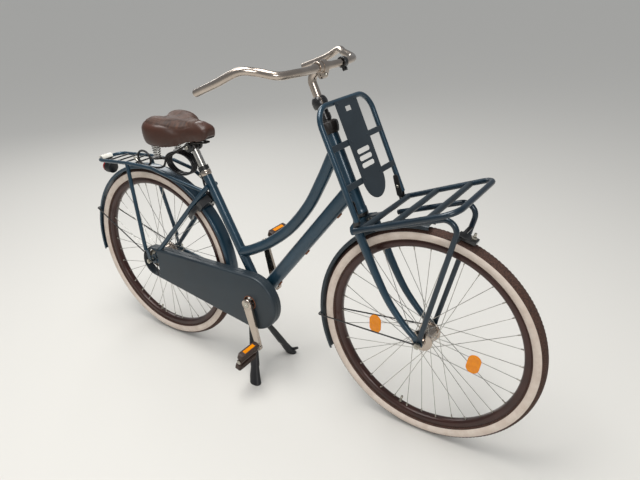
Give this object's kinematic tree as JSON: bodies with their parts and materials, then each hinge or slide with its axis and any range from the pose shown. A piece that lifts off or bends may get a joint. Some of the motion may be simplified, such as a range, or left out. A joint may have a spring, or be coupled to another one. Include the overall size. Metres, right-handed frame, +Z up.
{
  "type": "city bicycle",
  "caption": "City bicycle with a low curved frame, closed chain case, front and rear carriers, sprung saddle, ring lock with coiled cable and a two-legged stand.",
  "frame": {"origin": "on the ground under the centre of the bounding box", "axes": "+X forward, +Y to the rider's left, +Z up"},
  "size_m": [1.8648, 0.5484, 1.1573],
  "materials": {
    "petrol_paint": "satin, worn",
    "slate_paint": "satin, dusty",
    "bright_metal": "polished, lightly tarnished",
    "plain_steel": "plated",
    "black_enamel": "semi-gloss",
    "black_sleeve": "matt",
    "brown_plastic": "glossy",
    "brown_enamel": "satin",
    "brown_rubber": "matt",
    "tyre": "matt, brown tread and cream sides",
    "leather": "polished by use",
    "white_plastic": "matt",
    "red_lens": "glossy",
    "amber_lens": "glossy"
  },
  "bodies": {
    "frame": {"head_tube": "petrol_paint", "top_tube": "petrol_paint", "down_tube": "petrol_paint", "seat_tube": "petrol_paint", "bottom_bracket_shell": "petrol_paint", "chain_stay_right": "petrol_paint", "chain_stay_left": "petrol_paint", "seat_stay_right": "petrol_paint", "seat_stay_left": "petrol_paint", "headset_cup": "black_enamel", "headset_cover": "brown_plastic", "seat_clamp": "bright_metal", "rear_mudguard": "slate_paint", "rear_mudguard_stay": "black_enamel", "rear_carrier": "petrol_paint", "rear_light_housing": "black_enamel", "rear_light_lens": "red_lens", "rear_light_cap": "white_plastic", "chain_case": "slate_paint", "chain": "plain_steel", "ring_lock_body": "black_enamel", "stand_bracket": "bright_metal", "rear_axle": "plain_steel", "lock_cable": "black_sleeve"},
    "saddle_assembly": {"seat_post": "bright_metal", "seat_post_ring": "black_enamel", "saddle": "leather", "saddle_frame": "plain_steel", "saddle_spring_right": "plain_steel", "saddle_spring_left": "plain_steel"},
    "steering": {"fork": "petrol_paint", "headset_locknut": "black_enamel", "stem_collar": "black_enamel", "stem": "bright_metal", "handlebar": "bright_metal", "bar_clamp": "black_enamel", "front_mudguard": "slate_paint", "front_mudguard_stay": "black_enamel", "front_carrier_platform": "petrol_paint", "front_carrier_upright": "petrol_paint", "front_carrier_plate": "slate_paint", "front_carrier_legs": "petrol_paint", "front_axle": "plain_steel"},
    "front_wheel": {"front_hub": "bright_metal", "front_rim": "brown_enamel", "front_tyre": "tyre", "front_spoke_reflector": "amber_lens", "rear_spoke_reflector": "amber_lens"},
    "rear_wheel": {"rear_hub": "bright_metal", "rear_rim": "brown_enamel", "rear_tyre": "tyre"},
    "sprocket": {"sprocket": "plain_steel"},
    "crank": {"crank_spindle": "plain_steel", "chainring": "plain_steel", "crank_arm_right": "bright_metal", "crank_arm_left": "bright_metal"},
    "pedal_right": {"pedal_right": "brown_rubber"},
    "pedal_left": {"pedal_left": "brown_rubber"},
    "stand_legs": {"stand_legs": "black_enamel"},
    "lock_shackle": {"lock_shackle": "plain_steel"}
  },
  "joints": [
    {"name": "steering", "type": "hinge", "parent": "frame", "child": "steering", "pos_m": [0.51478, 0, 0.33208], "axis": [-0.3987, 0, 0.9171], "range_deg": [-60, 60]},
    {"name": "seat_post_slide", "type": "slide", "parent": "frame", "child": "saddle_assembly", "axis": [-0.4478, 0, 0.8942], "range_m": [0, 0.08]},
    {"name": "front_wheel_spin", "type": "hinge", "parent": "steering", "child": "front_wheel", "pos_m": [0.57439, 0, 0.358], "axis": [0, 1, 0], "continuous": true},
    {"name": "rear_wheel_spin", "type": "hinge", "parent": "frame", "child": "rear_wheel", "pos_m": [-0.56061, 0, 0.358], "axis": [0, 1, 0], "continuous": true},
    {"name": "crank_spin", "type": "hinge", "parent": "frame", "child": "crank", "pos_m": [-0.06561, 0, 0.314], "axis": [0, 1, 0], "continuous": true},
    {"name": "sprocket_spin", "type": "hinge", "parent": "frame", "child": "sprocket", "pos_m": [-0.56061, 0, 0.358], "axis": [0, 1, 0], "continuous": true},
    {"name": "pedal_right_spin", "type": "hinge", "parent": "crank", "child": "pedal_right", "pos_m": [-0.02852, -0.15, 0.14809], "axis": [0, 1, 0], "continuous": true},
    {"name": "pedal_left_spin", "type": "hinge", "parent": "crank", "child": "pedal_left", "pos_m": [-0.10269, 0.15, 0.47991], "axis": [0, 1, 0], "continuous": true},
    {"name": "stand_fold", "type": "hinge", "parent": "frame", "child": "stand_legs", "pos_m": [-0.12861, 0, 0.262], "axis": [0, 1, 0], "range_deg": [0, 75]},
    {"name": "lock_close", "type": "hinge", "parent": "frame", "child": "lock_shackle", "pos_m": [-0.32218, 0, 0.59708], "axis": [-0.7506, 0, 0.6607], "range_deg": [0, 90], "stiffness_Nm_per_rad": 0.03, "springref_deg": -57.3}
  ],
  "couplings": [
    {"joint": "sprocket_spin", "follows": "crank_spin", "ratio": 2.375}
  ]
}
